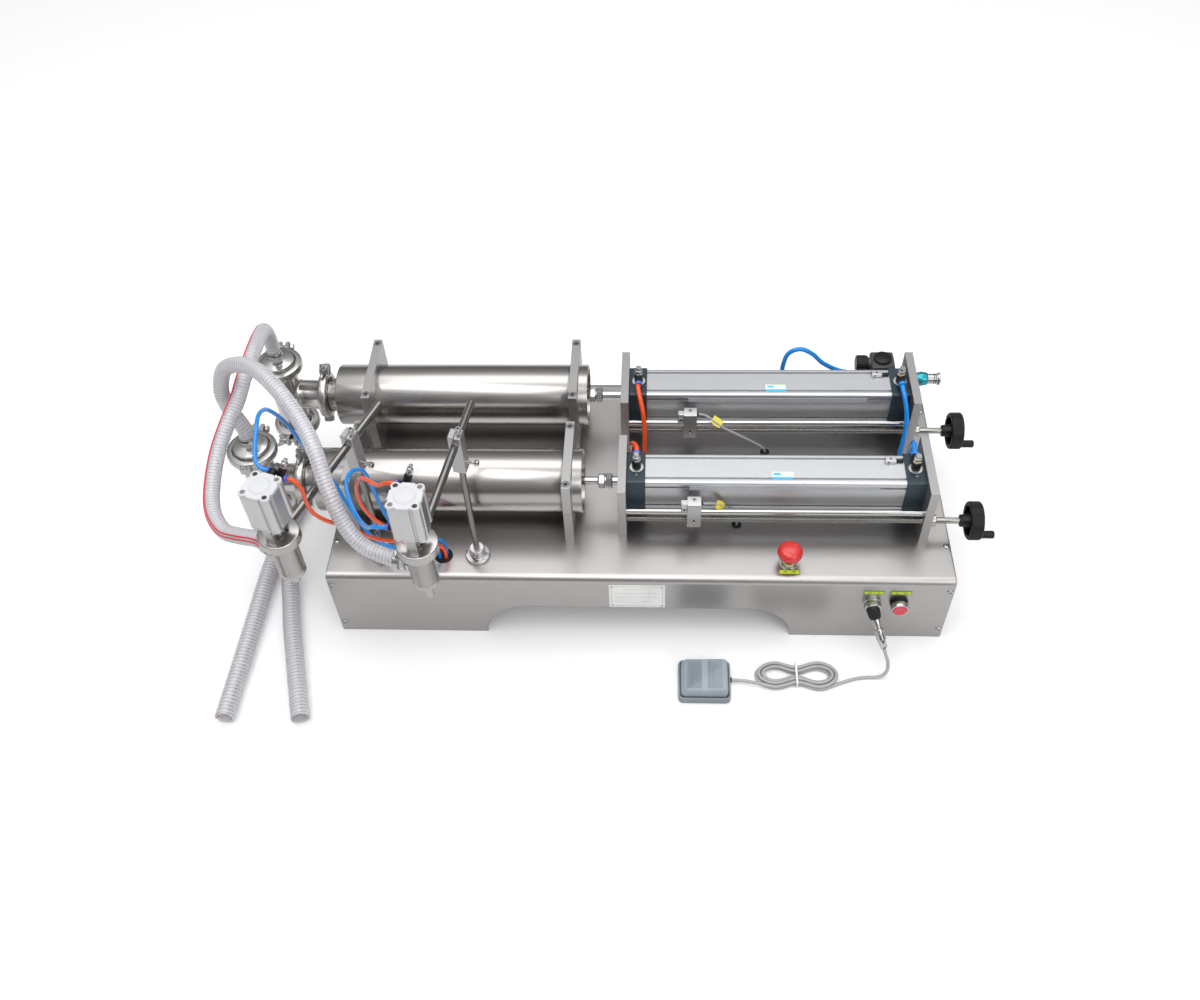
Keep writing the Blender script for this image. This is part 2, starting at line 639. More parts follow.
CORD_OUT = [(186, -320, 8.2), (175, -317.5, 7.2), (163, -316, 6.5), (151.4, -316, 6.4)]
CORD_D = 5.5


def hank_line():
    """The foot lead's hank: two layers of flat turns, drawn in at the tie."""
    middle_x, middle_y = 258, -304
    turns, layer = 2, CORD_D + 0.7
    start, stop = 0.1, 2 * turns + 0.38
    long_r, wide_r, tie_r, pitch, tie_reach = 68, 33, 16.8, 7, 16.8 * 1.6

    def point(s):
        """The point after s turns. The turns go inwards, then up and outwards again."""
        inwards = s if s <= turns else max(0, turns - max(0, s - turns - 0.5))
        up = layer * max(0, min(1, (s - turns) * 2))
        wide, narrow = wide_r - pitch * inwards, tie_r - 6.8 * inwards
        x = (long_r - pitch * inwards) * math.cos(2 * math.pi * s)
        y = math.sin(2 * math.pi * s) * (wide + (narrow - wide) * math.exp(-((x / tie_reach) ** 2)))
        return Vector((middle_x + x, middle_y - y, CORD_D / 2 + 0.1 + up))

    n = round((stop - start) * 24)
    return [point(start + (stop - start) * i / n) for i in range(n + 1)]


# Hoses, tubes, cables and the foot lead
def hose(name, body, route, d, bore, node, pitch, stripes, n=24):
    """A clear hose, open at both ends, with a spiral rib inside its skin and red lines along it."""
    rings_in_pitch, wave, line_inset, line_r = 6, 0.7, 0.8, 1.25
    curve = smooth(route, 24)
    line = even(curve, round(length(curve) / pitch) * rings_in_pitch)
    frames = section(line)
    part = Part(name, body, node)

    def phase(i, k):
        """Where a place lies across the spiral. 0.5 is the middle of a rib."""
        return (i / rings_in_pitch - k / n) % 1.0

    skin, on_rib = [], []
    for i, frame in enumerate(frames):
        for k in range(n):
            crest = 0.5 - 0.5 * math.cos(2 * math.pi * phase(i, k))
            skin.append(around(frame, 360 * k / n, d / 2 - wave * (1 - crest**1.6)))
            on_rib.append(0.4 < phase(i + 0.5, k + 0.5) < 0.6)
    faces = list(zip(quads(len(frames), n), on_rib))
    outer = part.add(skin, [face for face, rib in faces if not rib], "hose")
    part.fill(outer, [face for face, rib in faces if rib], "hose_rib")
    inside = [frames[i] for i in sorted({*range(0, len(frames), 2 * rings_in_pitch), len(frames) - 1})]
    points = [around(frame, 360 * k / n, bore / 2) for frame in inside for k in range(n)]
    inner = part.add(points, [face[::-1] for face in quads(len(inside), n)], "hose")
    for edge in (slice(None, n), slice(-n, None)):
        part.fill(outer[edge] + inner[edge], quads(2, n), "hose")
    for angle in stripes:
        part.tube([around(frame, angle, d / 2 - line_inset) for frame in frames[::4]], line_r, "stripe", 8)
    return part.end(), line, length(curve)


def delivery_hoses():
    """The hoses to the nozzles. Each bends between two places with its arm."""
    d, bore, pitch, x, z = 24, 19.2, 5.2, -560, 380
    both = (("left", LEFT_HOSE, (318, 342), 60, -330), ("right", RIGHT_HOSE, (222,), -215, -345))
    for side, route, stripes, start, stop in both:
        obj, _, _ = hose(side + "_hose", None, route, d, bore, side + "_delivery_hose", pitch, stripes)
        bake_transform(obj)


def suction_hoses():
    d, bore, pitch, stripes = 31, 25, 6.4, (200,)
    for line, route in (("front", FRONT_SUCTION), ("rear", REAR_SUCTION)):
        name = line + "_suction"
        obj, path, total = hose(name, "machine", route, d, bore, name + "_hose", pitch, stripes, 28)


def air_lines():
    part = Part("air_lines", "machine", "cylinder_tubes")
    for name, route in AIR.items():
        mat = "tube_orange" if name.endswith("left") else "tube_blue"
        part.tube(even(smooth(route, 10), 60), 4, mat, 14)
    part.end()


def bending_lines(prefix, routes, node, steps, r, n, colour=None):
    """Thin lines that bend between the machine and a body. The first one replaces the node."""
    for i, (name, route) in enumerate(routes.items()):
        part = Part(prefix + name, None, *([node] if i == 0 else []), slot=node)
        part.tube(even(smooth(route, 10), steps), r, colour or "tube_" + name.split("_")[0], n)
        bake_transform(part.end())


def soft_lines():
    delivery_hoses()
    suction_hoses()
    air_lines()
    left = "left_arm", (-400, -250, 190), (-400, -250, 450)
    right = "right_arm", (-400, -222, 400), (-400, -335, 400)
    ends = {name: left if name.endswith("left") else right for name in SMALL}
    bending_lines("tube_", SMALL, "nozzle_tubes", 130, 3, 12)
    ends = {}
    for line, route in CABLES.items():
        ends[line] = line + "_stop", (route[-1][0], 0, 200), (route[0][0], 0, 200)
    bending_lines("sensor_cable_", CABLES, "sensor_cables", 60, 2, 10, "cable")


def foot_cord():
    """The foot lead from the plug over its hank to the foot switch."""
    core = hank_line()
    first = (core[0] - core[1]).normalized()
    last = (core[-1] - core[-2]).normalized()
    lead, near, joint = 2.5 * CORD_D, CORD_D + 0.4, 2
    start = smooth(CORD_IN + [core[0] + first * lead, core[0] + first * near], 12)
    hank = smooth([core[0] + first * joint] + core + [core[-1] + last * joint], 3)[1:-1]
    stop = smooth([core[-1] + last * near, core[-1] + last * lead] + CORD_OUT, 12)
    line = start + hank + stop
    line = even(line, round(length(line) / 2.6))
    part = Part("foot_lead", "machine", "foot_cord", "cord_hank")
    part.tube(line, CORD_D / 2, "cord")
    part.end()


# Detailed pieces
ESTOP_X, ESTOP_Y, _ = middle("estop_housing")
BUTTON_X, _, PANEL_Z = middle("button_cap")
SOCKET_X = middle("foot_socket")[0]
# The x of each stop carriage, and of each line's joint nuts
CARRIAGE_X = {"rear": 86, "front": 90}
NUT_X = {"rear": -75, "front": -52}
# Each nozzle's turn, the turn of its barb and the length of its tip
NOZZLES = {"left": (-17, 148, 22), "right": (-4, 161.6, 33)}


def post(side, z):
    """A height on a post, turned as its arm."""
    x, swing, _ = POSTS[side]
    return move(x, POST_Y, z) @ turn("Z", -swing)


def screws():
    part = Part("screw_heads", "machine", "screws")
    for e in (-1, 1):
        x = e * (RIGHT - 6.5)
        for s in (-1, 1):
            for z in (22, 126):
                part.dome(10.5, 2.6, move(x, s * BACK, z) @ turn("X", -s * 90) @ turn("Z", 20 + z))
            part.dome(10.5, 2.6, move(x, s * 150, DECK) @ turn("Z", 33 * s))
    clamp_top = 275.2
    for y in AXES:
        for x in (LEFT + 44, LEFT + 390):
            for s in (-1, 1):
                place = move(x, y + s * 62, clamp_top)
                part.cap_screw(13, 7.6, "cast", place @ turn("Z", 17 * s), "hole_grey")
                part.lathe([(6.4, 0.1), (4.2, 0.12), (4.2, 0.05)], "hole_grey", place @ move(z=7.8), 32)
    for side in POSTS:
        for s in (-1, 1):
            part.dome(6.8, 2, post(side, DECK + 6) @ move(s * 16) @ turn("Z", 30 * s))
    part.end()


def rating_plate(part):
    """A white plate with bare lines, on four rivets."""
    part.box((-45, 45), (FRONT - 0.8, FRONT), (76, 136), "plate_white", c=0.25)
    lines = [
        (-41.5, 41.5, 131.6, 132), (-41.5, 41.5, 80, 80.4), (-41.5, -41.1, 80, 132), (41.1, 41.5, 80, 132),
        (-22, 24, 124.8, 125.1), (-38, 2, 114, 114.3), (6, 36, 114, 114.3), (-38, -14, 103, 103.3),
        (6, 36, 103, 103.3), (-38, -14, 92, 92.3), (6, 24, 92, 92.3), (20, 20.3, 106, 120)]
    for x0, x1, z0, z1 in lines:
        part.box((x0, x1), (FRONT - 0.86, FRONT - 0.7), (z0, z1), "ink", c=0)
    rivet = [(2, 0), (2, 0.5), (1.3, 0.85), (0, 0.95)]
    for x in (-40, 40):
        for z in (81, 131):
            part.lathe(rivet, "screw_steel", move(x, FRONT - 0.75, z) @ turn("X", 90), 18)


def legends(part):
    """The bare plates beside the socket, the button and the emergency stop."""
    places = [move(x, FRONT, PANEL_Z + 26.5) @ turn("X", 90) for x in (SOCKET_X, BUTTON_X)]
    for m in places + [move(ESTOP_X, ESTOP_Y - 19.2, DECK)]:
        part.box((-16.5, 16.5), (-4.5, 4.5), (0, 0.74), "green", m, 0.3)
        part.box((-15.2, 15.2), (-3.3, 3.3), (0.3, 0.84), "yellow", m, 0.1)
        for x in (-7, 7):
            part.box((x - 2.4, x + 2.4), (-1.3, 1.3), (0.5, 0.88), "green", m, 0.1)


def stroke_scale(part, y):
    """A strip with plain ticks on the front of an air cylinder."""
    face, top, ticks, pitch = y - 32.8, 244.2, 61, 4.94
    part.box((81.8, 381.8), (face, face + 0.8), (236, 245), "scale", c=0.2)
    for i in range(ticks):
        x = 83.6 + i * pitch
        tall = 4.2 if i % 10 == 0 else 3.0 if i % 2 == 0 else 1.8
        part.box((x - 0.3, x + 0.3), (face - 0.06, face + 0.2), (top - tall, top), "tick", c=0)


def stickers(part, y):
    """A pale sticker with two blue fields on top of an air cylinder."""
    top = box("air_tubes")[2][1]
    part.box((212, 246), (y - 23, y - 7), (top - 0.1, top + 0.25), "sticker", c=0.1)
    for x, y0, y1 in (((212, 246), y - 23, y - 18), ((215, 226), y - 14.5, y - 9.5)):
        part.box(x, (y0, y1), (top, top + 0.32), "sticker_blue", c=0.1)


def labels():
    part = Part("labels", "machine", "label_plates")
    rating_plate(part)
    legends(part)
    for y in AXES:
        stroke_scale(part, y)
        stickers(part, y)
    part.end()


def panel_body(part, m):
    """The hidden part of a panel device, with its nut behind the panel."""
    part.rod(22.2, -7, 0.2, "dark", m, 40)
    part.hexagon(29, -7.2, -2.2, "satin", m, 0.7)
    part.box((-15, 15), (-15, 15), (-39, -8), "grey", m, 1.2)
    for x in (-8, 8):
        part.cap_screw(6, 2.4, "screw_steel", m @ move(x, 0, -39) @ turn("X", 180))


def emergency_stop():
    m = move(ESTOP_X, ESTOP_Y, DECK)
    part = Part("estop_collar", "machine", "estop_housing")
    panel_body(part, m)
    collar = [(5.1, 0), (14.5, 0), (14.5, 2.6), (14, 3.2), (13.1, 3.4), (12.4, 7.2), (11.9, 7.8),
              (11.2, 8), (10.5, 8), (10.5, 2.6), (5.1, 2.2)]
    part.lathe(collar, "polished", m, 48, True)
    part.lathe([(12.2, 7.2), (11.9, 8.3), (11.2, 8.7), (10.6, 8.5), (10.55, 7.9)], "yellow", m)
    part.end()
    part = Part("estop_mushroom", "estop", "estop_head")
    part.rod(9.9, 5.2, 13.5, "screw_steel", m)
    head = [(0, 12.7), (9.2, 12.7), (10, 13.4), (10, 16), (11.5, 20), (18.4, 21.5), (19.6, 22.1),
            (20, 23.4), (20, 27), (19.6, 29.6), (18.5, 32), (16.4, 34.2), (13.4, 36), (10, 37.1),
            (6.6, 37.7), (3.2, 38), (0, 38.1)]
    part.lathe(head, "red", m, 64)
    part.end()


def push_button():
    m = move(BUTTON_X, FRONT, PANEL_Z) @ turn("X", 90)
    part = Part("button_body", "machine", "button_housing")
    panel_body(part, m)
    part.lathe([(4.1, 0), (14.5, 0), (14.5, 6.4), (13.9, 7.2), (4.1, 7.2)], "black", m, 48, True)
    bezel = [(11.4, 6.8), (14.1, 6.8), (14.4, 8), (14.4, 14.8), (13.8, 16), (12, 16.3), (11.4, 15.8)]
    part.lathe(bezel, "polished", m, 48, True)
    part.end()
    part = Part("button_face", "button", "button_cap")
    cap = [(0, 15), (11.1, 15), (11.1, 16.4), (10.6, 17.1), (9.6, 17.3), (8.8, 17.1), (5, 16.9), (0, 16.8)]
    part.lathe(cap, "red_cap", m, 48)
    part.rod(7.9, -2, 15.4, "black", m)
    part.end()


def socket_and_plug():
    """The foot switch's socket with its rubber boot, and the plug that hangs from it."""
    m = move(SOCKET_X, FRONT, PANEL_Z) @ turn("X", 90)
    part = Part("cord_socket", "machine", "foot_socket")
    panel_body(part, m)
    nut = [(0, 0), (14.5, 0), (14.5, 3), (13.6, 3.5), (13.2, 4), (13.2, 8.4), (14, 9), (14, 13.2),
           (13, 14.1), (11.9, 14.2), (11.6, 15), (0, 15)]
    part.lathe(nut, "screw_steel", m, 48)
    part.ribs(24, (13.4, 14.25), (-0.5, 0.5), (9.4, 12.9), "screw_steel", m, 0.2)
    boot_r, boot_place = 11, (375.431, -235.861, 96.424)
    boot = along(boot_place, CORD_IN[0])
    ball = [circle(degrees, boot_r) for degrees in range(-90, 0, 10)]
    neck = [(boot_r, 0), (10.6, 5), (9.9, 11), (9, 15.2), (8.2, 16), (0, 16)]
    part.lathe([(0, -boot_r)] + ball[1:] + neck, "black_rubber", boot)
    part.end()
    part = Part("plug_shell", "machine", "cord_plug")
    m = boot @ move(z=16.2)
    shell = [(0, 0), (7, 0), (7.2, 0.5), (7.2, 10), (6.6, 10.4), (6.6, 11.6), (7.2, 12), (7.2, 15.4),
             (6.7, 15.9), (6.7, 17), (7.7, 17.4), (8, 17.9), (8, 24), (7.5, 24.4), (7.5, 25.4),
             (8, 25.8), (8, 35.6), (7.4, 36.4), (6.9, 36.6), (6.5, 40), (5.6, 46.5), (5.1, 47.4),
             (5.1, 51.6), (4.6, 52.3), (0, 52.3)]
    part.lathe(shell, "polished", m)
    part.ribs(20, (7.7, 8.15), (-0.45, 0.45), (18.6, 23.4), "screw_steel", m, 0.15)
    part.cap_screw(4, 2, "screw_steel", m @ along_x(5, 0, 49.5))
    part.end()


def grommets():
    part = Part("grommets", "machine", "cable_grommets")
    wide = [(0, 1.2), (10.6, 1.2), (11.2, 1.9), (12.6, 2.2), (14.2, 1.9), (15, 1), (15, 0), (11.9, 0),
            (11.9, -4), (0, -4)]
    part.lathe(wide, "black_rubber", move(-313, POST_Y - 1, DECK), 44)
    for routes, bore in ((AIR, 4.4), (CABLES, 2.4)):
        for x, y, _ in (route[-1] for route in routes.values()):
            small = [(bore, 1), (bore + 0.8, 1.5), (7, 1.4), (8, 0.7), (8, 0), (5.9, 0), (5.9, -4),
                     (bore, -4)]
            part.lathe(small, "black_rubber", move(x, y, DECK), 32, True)
    part.end()


def barrels():
    part = Part("barrel_shells", "machine", "product_barrels")
    left, right = box("product_barrels")[0]
    end = right - left
    shell = [(23.9, 0), (31.6, 0), (32, 0.4), (32, 2.5), (29.6, 3.7), (29, 4.5), (29, 24.5), (29.8, 26.3),
             (31.5, 27.5), (50.6, 27.5), (51.6, 28.1), (52, 29.3), (52, end - 1), (51.6, end - 0.2),
             (51, end), (49.4, end), (49, end - 0.6), (49, 37.5), (23.9, 37.5)]
    for y in AXES:
        part.lathe(shell, "barrel", along_x(left, y, AXIS_Z), 96, True)
    part.end()


def product_pistons():
    """Each product piston with its seals, rod and joint nuts."""
    seal_r, groove_r = 48.9, 48
    head = [(0, -45), (47.6, -45), (seal_r, -43.5), (seal_r, -40), (groove_r, -40), (groove_r, -35),
            (seal_r, -35), (seal_r, -10), (groove_r, -10), (groove_r, -5), (seal_r, -5), (seal_r, -1),
            (groove_r, 0), (0, 0)]
    for line, nut in NUT_X.items():
        part = Part(line + "_ram", line + "_piston", line + "_product_piston")
        face = nut - 50
        part.lathe(head, "white", along_x(face, AXIS_Y[line], AXIS_Z), 72)
        m = along_x(nut, AXIS_Y[line], AXIS_Z)
        part.rod(14, -51, -12, "rod", m, c=1)
        part.hexagon(22, -11, -1.2, "screw_steel", m, 1.2)
        part.rod(19, -1.6, 0.8, "screw_steel", m)
        part.hexagon(22, 0.4, 11, "screw_steel", m @ turn("Z", 24), 1.2)
        part.end()


def guide_bars():
    part = Part("guide_bars", "machine", "guide_rods")
    for y in AXES:
        part.rod(10, *box("guide_rods")[0], "rod", along_x(0, y - SCREW_IN, GUIDE_Z), 36, 0.8)
    part.end()


def lead_screw(line, m):
    """A threaded rod with a collar at its right plate."""
    part = Part(line + "_thread", line + "_screw", line + "_lead_screw")
    pitch, ridges, first, root, crest = 2.5, 192, 1.1, 4.35, 5.0
    thread = [(0, 0), (4.2, 0)]
    for x in (first + pitch * k for k in range(ridges)):
        thread += [(root, x), (crest, x + 0.8), (crest, x + 1.25), (root, x + 2.05)]
    part.lathe(thread + [(root, 480.1), (5, 481.1), (5, 572.1), (4.5, 573.1), (0, 573.1)], "thread", m, 22)
    collar = [(5, 0), (9.4, 0), (10, 0.6), (10, 7.3), (9.4, 8), (5, 8)]
    part.lathe(collar, "screw_steel", m @ move(z=496), 40, True)
    part.end()


def handwheel(line, m):
    part = Part(line + "_wheel", line + "_screw", line + "_handwheel")
    wheel = [(5.06, 0), (9.2, 0), (10, 0.8), (10, 8), (11.5, 13), (12, 23), (14, 25), (22.6, 25),
             (24, 23.5), (24, 13.5), (25, 12.2), (29.4, 12.2), (30.2, 13), (30.2, 31), (29.2, 32),
             (14, 32), (12.6, 30.6), (5.06, 30.6)]
    part.lathe(wheel, "black", m, 72, True)
    part.ribs(48, (29.6, 31), (-1.15, 1.15), (14, 30.4), "black", m, 0.5)
    part.hexagon(8, 30.4, 31.6, "screw_steel", m, 0.3)
    part.end()


def crank_handle(line, place):
    """The handle on its pin, 22 from the wheel's middle."""
    part = Part(line + "_grip", line + "_crank", line + "_crank_handle")
    m = place @ turn("X", 225) @ along_x(25, 22, 0)
    part.rod(5.9, 0, 9, "screw_steel", m)
    grip = [(0, 7.2), (5.4, 7.2), (6.2, 8), (6.5, 10), (6.2, 15), (6.3, 21), (6.5, 26), (6, 28.4),
            (5, 29.2), (3, 29), (0, 28.8)]
    part.lathe(grip, "black", m, 36)
    part.end()


def screws_and_wheels():
    start = box("front_lead_screw")[0][0]
    wheel_x = box("front_handwheel")[0][0]
    for line in ("rear", "front"):
        y = AXIS_Y[line] - SCREW_IN
        lead_screw(line, along_x(start, y, SCREW_Z))
        handwheel(line, along_x(wheel_x, y, SCREW_Z))
        crank_handle(line, move(wheel_x, y, SCREW_Z))


def stop_carriage(line, m):
    """A block on the lead screw with its bracket, and the sensor clamped to it."""
    part = Part(line + "_carriage", line + "_stop", line + "_stop_carriage")
    part.box((-11, 11), (-60, -40), (27, 64), "satin", m, 0.8)
    bracket = [(-63, 30.4), (-62.6, 30), (-60.4, 30), (-60, 30.4), (-60, 79.2), (-59.2, 80), (-43.4, 80),
               (-43, 80.4), (-43, 82.6), (-43.4, 83), (-60.8, 83), (-62.2, 82.4), (-63, 81)]
    part.prism(bracket, -11, 11, "plate", m @ SIDEWAYS, 0.3)
    part.cap_screw(6.4, 1.6, "screw_steel", m @ move(0, -50, 83))
    part.box((-1.7, 1.7), (-63.15, -62.8), (36.5, 48), "bore", m, 0)
    part.dome(5.4, 1.6, m @ move(0, -63, 40.5) @ turn("X", 90))
    part.box((-21, -10.4), (-59.8, -50), (63, 83), "satin", m, 0.9)
    part.box((-20.2, -11.6), (-60.4, -59.4), (66, 74), "plate", m, 0.4)
    part.lathe([(0, 0.12), (1.9, 0.12), (2, 0)], "black", m @ move(-15.6, -60.4, 70) @ turn("X", 90), 16)
    part.rod(5.5, 10.6, 14, "black", m @ along_x(0, -52, 76), 18)
    part.end()


def cable_tag(line):
    """A folded tag around a sensor's cable."""
    part = Part(line + "_tag", line + "_stop")
    route = [Vector(p) for p in CABLES[line]]
    way = (route[4] - route[2]).normalized()
    face = Vector((0, -0.6, 0.8))
    face = (face - way * face.dot(way)).normalized()
    m = Matrix((face, way.cross(face), way)).transposed().to_4x4()
    m.translation = (route[2] + route[4]) / 2
    part.lathe([(2, -9), (2.5, -9), (2.5, 9), (2, 9)], "tag", m, 24, True)
    part.prism([(-8, -10), (5, -9), (6.5, 0), (5.5, 9), (-7, 10),
                (-9, 1)], 1.5, 2.4, "tag", m @ SIDEWAYS, 0.2)
    part.end()


def carriages():
    for line, x in CARRIAGE_X.items():
        stop_carriage(line, move(x, AXIS_Y[line], DECK))
        cable_tag(line)


def tri_clamp(part, m):
    """A hinged clamp in two halves, with its bolt and wing nut."""
    body = [(30.6, -7), (31.4, -8), (35.6, -8), (38.6, -6.4), (40, -3.6), (40, 3.6), (38.6, 6.4),
            (35.6, 8), (31.4, 8), (30.6, 7)]
    part.lathe(body, "cast", m, 56, True)
    lug = [(-4, 0), (4, 0), (4, 12), (3, 15), (1, 16), (-1, 16), (-3, 15), (-4, 12)]
    for x, hinge in ((-6.5, (-9, -1)), (6.5, (1, 9))):
        part.prism(lug, -7.6, 7.6, "cast", m @ move(x, 37), 1.2)
        part.box(hinge, (-47.2, -36), (-6.8, 6.8), "cast", m, 1.6)
    part.box((-2.4, 2.4), (36, 40.6), (-8.1, 8.1), "bore", m, 0)
    part.rod(7, -8.2, 8.2, "screw_steel", m @ move(y=-44.4), 20, 0.8)
    bolt = m @ move(y=46.5) @ turn("Y", -90)
    part.hexagon(10.2, -16.6, -10.9, "screw_steel", bolt, 0.8)
    part.rod(6, -13.7, 22.4, "screw_steel", bolt, 24, 0.6)
    nut = [(3, 10.7), (6, 10.7), (6.2, 12), (5.4, 15), (4.6, 20), (4.2, 22.4), (3, 22.6)]
    part.lathe(nut, "cast", bolt, 28, True)
    wing = [(2.6, 0.4), (6, 0.8), (9.4, 4), (12.4, 9), (13.2, 12.6), (12.2, 15.2), (10, 15.6), (7.4, 13.4),
            (4.4, 9.4), (2.6, 8)]
    for outline in (wing, [(-u, v) for u, v in reversed(wing)]):
        part.prism(outline, -2, 2, "cast", bolt @ move(z=10.9) @ SIDEWAYS, 0.9)


def tees():
    part = Part("tee_bodies", "machine", "product_tees")
    flange = [(25.5, 63.5), (26.4, 64.6), (32, 66), (32, 68.5), (23.9, 68.5)]
    upright = [(r, -z) for r, z in reversed(flange)] + flange
    branch = [(23.9, 10), (25.5, 10), (25.5, 20), (27, 23.2), (26.2, 25.2), (25.5, 27),
              (25.5, 63)] + flange[1:]
    for y in AXES:
        part.lathe(upright, "polished", move(TEE_X, y, AXIS_Z), 72, True)
        part.lathe(branch, "polished", along_x(TEE_X, y, AXIS_Z), 72, True)
    part.end()
    part = Part("joint_clamps", "machine", "tri_clamps")
    reach = 69
    for y in AXES:
        tri_clamp(part, move(TEE_X, y, AXIS_Z + reach))
        mirror = turn("Z", 180) @ Matrix.Diagonal((-1, 1, 1, 1))
        tri_clamp(part, move(TEE_X, y, AXIS_Z - reach) @ mirror)
        tri_clamp(part, move(TEE_X + reach, y, AXIS_Z) @ turn("X", 60) @ turn("Y", 90))
    part.end()


def band(part, d, m):
    """A worm-drive band around a hose."""
    r, wide = d / 2 + 0.2, 9
    half = [(r, 0), (r + 1.1, 0.3), (r + 1.2, 1), (r + 1, 1.4)]
    part.lathe(half + [(a, wide - z) for a, z in reversed(half)], "screw_steel", m, 48, True)
    part.box((r + 0.2, r + 6.4), (-4.2, 4.2), (0.6, wide - 0.6), "screw_steel", m, 0.9)
    part.rod(5.4, -7.4, 7.4, "screw_steel", m @ move(r + 3.6, 0, wide / 2) @ turn("X", 90), 20, 0.8)
    part.box((r + 3.2, r + 4), (-7.6, -7.2), (wide / 2 - 2.2, wide / 2 + 2.2), "bore", m, 0)
    for k in range(14):
        slot = m @ turn("Z", 150 + k * 6)
        part.box((r + 0.95, r + 1.12), (-0.4, 0.4), (2.2, wide - 2.2), "bore", slot, 0)


def barb_line(d, z0, z1, n):
    """The outline of n barbs between two heights."""
    out, step = [], (z1 - z0) / n
    for z in (z0 + i * step for i in range(n)):
        out += [(d / 2, z + 0.2), (d / 2, z + 0.3 * step), (d / 2 - 0.55, z + step)]
    return out


def barbs():
    part = Part("hose_tails", "machine", "hose_barbs")
    reach = 69.5
    upper = [(7.4, 0), (32, 0), (32, 2.5), (30.4, 3.5), (28.6, 3.9), (28.5, 10), (27.4, 12.5), (24, 13.9),
             (14, 15.1), (9.4, 16.9)] + barb_line(16.9, 17.5, 47.9, 6) + [(7, 48.5), (6, 48.5)]
    lower = [(9.6, 0), (32, 0), (32, 2.5), (30.4, 3.5), (28.6, 4), (28.5, 9), (27, 10.4), (14, 10.8)]
    lower += barb_line(22.2, 11, 28, 3) + [(9.6, 28.5)]
    for y in AXES:
        m = move(TEE_X, y, AXIS_Z + reach)
        part.lathe(upper, "polished", m, 56, True)
        band(part, 24, m @ move(z=25.5) @ turn("Z", 60))
        part.lathe(lower, "polished", move(TEE_X, y, AXIS_Z - reach) @ turn("X", 180), 56, True)
        band(part, 31, move(TEE_X, y, AXIS_Z - 98))
    part.end()


def stands():
    part = Part("post_stands", "machine", "nozzle_stands")
    foot = [(5.06, 0), (19.4, 0), (20, 0.6), (20, 5), (19, 6), (13, 6), (12.2, 6.6), (12, 7.4), (12, 21),
            (11, 22), (5.06, 22)]
    for side in POSTS:
        m = post(side, DECK)
        part.lathe(foot, "satin", m, 56, True)
        part.rod(10, 0, 263, "rod_dark", m, 40, 0.8)
        screw = m @ move(0, -5.2, 13.2) @ turn("X", 90)
        part.rod(5, 0, 8, "screw_steel", screw)
        part.cap_screw(8.5, 5, "screw_steel", screw @ move(z=7))
    part.end()


def clamp_block(side):
    """The block on a post with its arm and clamp screws."""
    part = Part(side + "_block", side + "_arm", side + "_clamp_block")
    m = post(side, 0)
    reach = POSTS[side][2]
    screw_z, screw_x, arm_back, arm_gap = 378.75, 5.5, 82, 21
    part.box((-10, 10), (-10, 10), (362, 437), "plate", m, 1.1)
    part.box((-0.5, 0.5), (-10.15, 10.15), (426.4, 437.1), "bore", m, 0)
    for s in (-1, 1):
        ring_place = m @ move(0, s * 10, ARM_Z) @ turn("X", -s * 90)
        part.lathe([(6.06, 0), (7, 0.02), (7.2, 0.25), (7, 0.4),
                    (6.06, 0.4)], "satin", ring_place, 36, True)
    arm = m @ move(0, arm_back, ARM_Z) @ turn("X", 90)
    part.rod(12, 0, reach - arm_gap + arm_back, "rod_dark", arm, 44, 1.2)
    part.rod(6, 6.2, 22, "polished", m @ along_x(0, 0, screw_z), 28)
    part.cap_screw(9.6, 6, "polished", m @ along_x(22, 0, screw_z))
    part.rod(5, 437, 442, "screw_steel", m @ move(screw_x))
    part.cap_screw(7.8, 8, "screw_steel", m @ move(screw_x, 0, 441))
    part.end()


def nozzle_place(side):
    """A nozzle's axis, at the end of its arm."""
    x, swing, reach = POSTS[side]
    out_x, out_y = circle(90 - swing, reach)
    return move(round(x - out_x, 3), round(POST_Y - out_y, 3))


def side_profile():
    """The outline of a small cylinder: four rounded corners with slots between them."""
    quarter = [(22.5, -8.4), (22.5, 8.4), (20.4, 9.2), (20.4, 10.8)]
    for x, y in (circle(angle, 6.5) for angle in range(-48, 140, 12)):
        quarter.append((16 + x, 16 + y))
    quarter += [(10.8, 20.4), (9.2, 20.4)]
    outline = []
    for c, s in ((1, 0), (0, 1), (-1, 0), (0, -1)):
        outline += [(x * c - y * s, x * s + y * c) for x, y in quarter]
    return outline


def cylinder_top(part, m):
    """The ring and the four screw holes of the upper cap. Two of the holes hold a plug."""
    rings = [(14.9, 0.02), (14.5, 0.7), (13.4, 0.75), (12.9, 0.25), (12.2, 0.25), (11.8, 0.7), (7, 0.85),
             (0, 0.9)]
    part.lathe(rings, "head_white", m, 48)
    for x, y, plugged in ((-16, 16, True), (16, -16, True), (16, 16, False), (-16, -16, False)):
        hole = m @ move(x, y)
        part.lathe([(4.4, 0), (4.2, 0.35), (3.7, 0.35), (3.5, 0.02)], "head_white", hole, 28)
        part.lathe([(3.55, 0.06), (0, 0.06)], "black" if plugged else "hole_grey", hole, 28)
        if plugged:
            part.lathe([(2.9, 0.08), (2.8, 0.3), (1.5, 0.3), (1.4, 0.1)], "dark", hole, 24)


def elbow(part, corner, x, tip):
    """A push-in elbow on the cylinder's back. Its corner is at x, and its arm ends at x = tip."""
    part.rod(9, 0, 12, "black", corner @ move(y=1) @ turn("X", 90), 28, 1)
    ball = [(r, height) for height, r in (circle(angle, 5) for angle in range(0, 181, 15))]
    part.lathe(ball, "black", corner, 24)
    push_in(part, corner @ turn("Y", 90 if tip > x else -90), 0, abs(tip - x))


